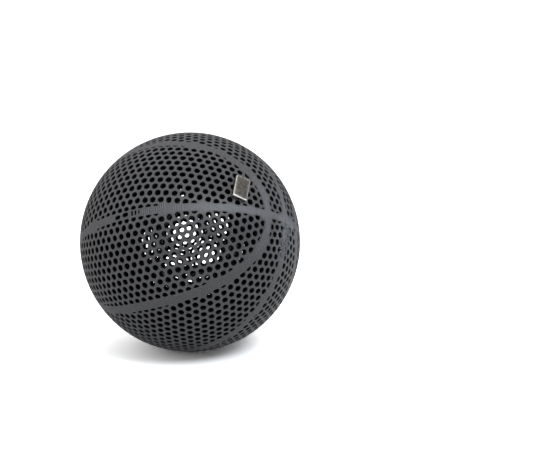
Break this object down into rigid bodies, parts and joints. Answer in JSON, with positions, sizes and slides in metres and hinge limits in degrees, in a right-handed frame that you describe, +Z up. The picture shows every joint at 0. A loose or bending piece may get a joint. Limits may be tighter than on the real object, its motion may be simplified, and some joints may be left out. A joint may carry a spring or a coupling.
{
  "type": "airless basketball with a magnet",
  "caption": "Airless basketball printed in one piece as a lattice of hexagonal holes with solid seam bands, and a block magnet that clings to its surface.",
  "frame": {"origin": "centre of the ball", "axes": "+Z up from the floor, +X to the right of the front view, which is seen from -Y with the magnet at the upper right"},
  "size_m": [0.2398, 0.2392, 0.2398],
  "materials": {
    "graphite_print": "matt printed filament with fine layer lines",
    "nickel_plate": "satin nickel plating"
  },
  "bodies": {
    "ball": {"lattice_ball": "graphite_print"},
    "magnet": {"block_magnet": "nickel_plate"}
  },
  "joints": [
    {"name": "magnet_lift", "type": "slide", "parent": "ball", "child": "magnet", "axis": [0.4726, -0.6553, 0.5892], "range_m": [0, 0.03]}
  ]
}
